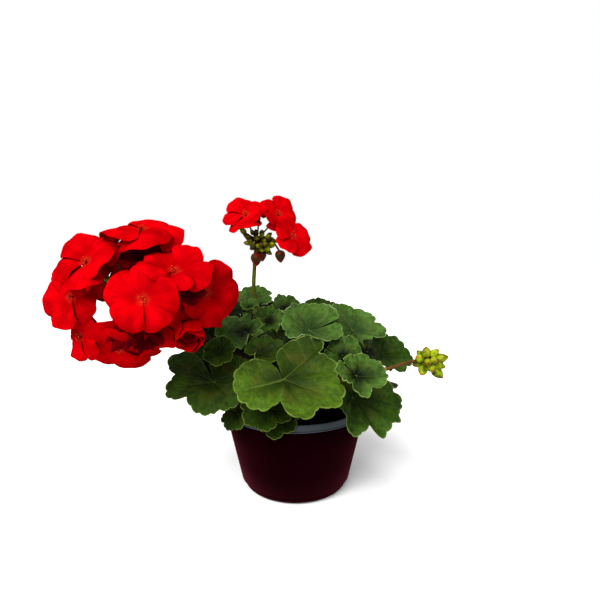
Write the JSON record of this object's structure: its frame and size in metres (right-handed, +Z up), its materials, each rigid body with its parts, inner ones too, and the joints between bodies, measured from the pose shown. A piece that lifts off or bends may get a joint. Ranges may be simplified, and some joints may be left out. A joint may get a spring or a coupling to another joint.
{
  "type": "potted geranium",
  "caption": "Zonal geranium in a round tapered plastic pot with an inner grower's pot, scalloped round leaves, a full red flower head, a small head just opening and a head of buds.",
  "frame": {"origin": "middle of the outer pot's flat underside, on the surface it stands on", "axes": "+Z up; +X to the right in the picture, along the longest extent, with the full flower head on the -X side; -Y towards the picture's camera"},
  "size_m": [0.3233, 0.2256, 0.2679],
  "materials": {
    "maroon_plastic": "smooth satin",
    "grey_plastic": "smooth satin",
    "soil": "crumbly, damp",
    "stem": "matte",
    "leaf": "soft, slightly velvety",
    "petal": "soft satin",
    "dark_stalk": "matte",
    "stalk": "matte",
    "bud": "matte"
  },
  "bodies": {
    "root": {"outer_pot": "maroon_plastic", "growers_pot": "grey_plastic", "soil": "soil", "stem": "stem", "leaf_front_middle": "leaf", "leaf_front_left": "leaf", "leaf_low_left": "leaf", "leaf_low_front": "leaf", "leaf_rim_front": "leaf", "leaf_low_right": "leaf", "leaf_front_right": "leaf", "leaf_folded_right": "leaf", "leaf_side_right": "leaf", "leaf_upper_right": "leaf", "leaf_upper_middle": "leaf", "leaf_top_middle": "leaf", "leaf_top_left": "leaf", "leaf_top_young": "leaf", "leaf_upper_left": "leaf", "leaf_curled_middle": "leaf", "leaf_curled_left": "leaf", "leaf_inner_front": "leaf", "leaf_side_left": "leaf", "leaf_left_deep": "leaf", "leaf_middle_deep": "leaf", "leaf_right_deep": "leaf", "leaf_back_left": "leaf", "leaf_low_side_right": "leaf", "leaf_back_right": "leaf", "leaf_back_middle": "leaf", "leaf_back_far_left": "leaf", "leaf_low_back": "leaf", "leaf_low_back_left": "leaf", "large_head_stalks": "dark_stalk", "large_head_florets": "petal", "small_head_stalks_and_buds": "stalk", "small_head_floret_left": "petal", "small_head_floret_top_right": "petal", "small_head_floret_right": "petal", "bud_head": "bud"}
  },
  "joints": []
}
